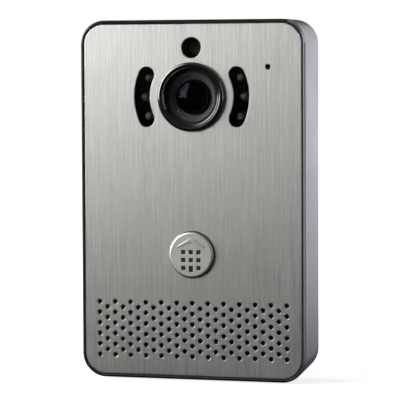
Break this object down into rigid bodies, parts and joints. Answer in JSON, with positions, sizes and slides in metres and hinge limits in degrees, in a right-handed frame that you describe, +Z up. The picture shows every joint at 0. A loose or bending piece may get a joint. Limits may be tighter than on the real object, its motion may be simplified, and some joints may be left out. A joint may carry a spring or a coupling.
{
  "type": "door intercom panel",
  "caption": "Slim wall-mounted door intercom: brushed metal face with ringed camera, curved infrared windows, light sensor, sprung call button and drilled speaker grille, on a lift-off bracket.",
  "frame": {"origin": "centre of the wall bracket's four wall screws, on the plane of the wall", "axes": "+Z up, +X to the right of a person who faces the panel, +Y into the wall; the face looks along -Y"},
  "size_m": [0.087, 0.0237, 0.134],
  "materials": {
    "brushed_face": "vertical brushed stainless steel",
    "satin_silver": "satin silver coated casting",
    "black_plastic": "fine matt black",
    "grey_plastic": "matt",
    "foam_tape": "double sided foam tape",
    "black_rubber": "matt",
    "steel_screw": "zinc plated",
    "zinc_sheet": "zinc plated sheet steel",
    "dark_chrome": "dark polished",
    "window_glass": "clear, faintly tinted",
    "lens_glass": "violet coated",
    "smoked_plastic": "smoked, lets infrared through",
    "black_metal": "black anodised",
    "board_green": "solder mask",
    "chip_black": "moulded",
    "sensor_glass": "glass over silicon",
    "lamp_clear": "water clear resin",
    "light_guide": "milky",
    "cap_metal": "satin turned",
    "spring_steel": "drawn wire",
    "cloth": "fine black mesh",
    "pressed_steel": "pressed",
    "magnet": "nickel plated",
    "cone_film": "thin film",
    "coil_copper": "enamelled copper",
    "can_steel": "tinned",
    "capacitor_blue": "sleeved can",
    "ferrite": "moulded ferrite",
    "connector_white": "moulded",
    "terminal_green": "moulded",
    "wire_red": "insulated wire",
    "ribbon": "flat cable",
    "lamp_white": "small lamp"
  },
  "bodies": {
    "bracket": {"wall_bracket": "zinc_sheet"},
    "panel": {"front_plate": "brushed_face", "plate_adhesive": "foam_tape", "chassis": "black_plastic", "housing": "satin_silver", "housing_gasket": "black_rubber", "housing_screws": "steel_screw", "camera_ring": "dark_chrome", "ring_nut": "black_plastic", "camera_window": "window_glass", "window_seal": "black_rubber", "lens_shroud": "black_plastic", "lens_barrel": "black_metal", "front_lens": "lens_glass", "rear_lens": "lens_glass", "lens_holder": "black_plastic", "image_sensor": "sensor_glass", "camera_board": "board_green", "small_screws": "steel_screw", "lamp_window_left": "smoked_plastic", "lamp_window_right": "smoked_plastic", "light_sensor_window": "smoked_plastic", "infrared_lamps": "lamp_clear", "light_sensor": "lamp_clear", "lamp_board": "board_green", "microphone": "can_steel", "microphone_boot": "black_rubber", "button_spring": "spring_steel", "button_retainer": "grey_plastic", "switch_body": "chip_black", "button_lamps": "lamp_white", "grille_cloth": "cloth", "speaker_gasket": "black_rubber", "speaker_frame": "pressed_steel", "speaker_yoke": "pressed_steel", "speaker_magnet": "magnet", "speaker_surround": "black_rubber", "speaker_strap": "zinc_sheet", "main_board": "board_green", "main_board_screws": "steel_screw", "board_chips": "chip_black", "wifi_module": "can_steel", "capacitors": "capacitor_blue", "power_inductor": "ferrite", "connectors": "connector_white", "terminal_block": "terminal_green", "terminal_screws": "steel_screw", "speaker_wires": "wire_red", "microphone_wires": "wire_red", "lamp_board_wires": "wire_red", "camera_ribbon": "ribbon"},
    "button": {"button_cap": "cap_metal", "button_light_guide": "light_guide", "button_carrier": "black_plastic"},
    "plunger": {"switch_plunger": "grey_plastic"},
    "cone": {"speaker_cone": "cone_film", "voice_coil": "coil_copper"},
    "lock": {"lock_screw": "steel_screw"}
  },
  "joints": [
    {"name": "panel_lift", "type": "slide", "parent": "bracket", "child": "panel", "axis": [0, 0, 1], "range_m": [0, 0.0035]},
    {"name": "lock_screw_out", "type": "slide", "parent": "panel", "child": "lock", "axis": [0, 0, -1], "range_m": [0, 0.003]},
    {"name": "call_button", "type": "slide", "parent": "panel", "child": "button", "axis": [0, 1, 0], "range_m": [0, 0.001], "stiffness_N_per_m": 1200, "springref_m": -0.0005, "deforming": ["button_spring"]},
    {"name": "switch_press", "type": "slide", "parent": "panel", "child": "plunger", "axis": [0, 1, 0], "range_m": [0, 0.001]},
    {"name": "speaker_cone_move", "type": "slide", "parent": "panel", "child": "cone", "axis": [0, 1, 0], "range_m": [-0.0004, 0.0004], "stiffness_N_per_m": 800, "deforming": ["speaker_surround"]}
  ],
  "couplings": [
    {"joint": "switch_press", "follows": "call_button", "ratio": 1}
  ]
}
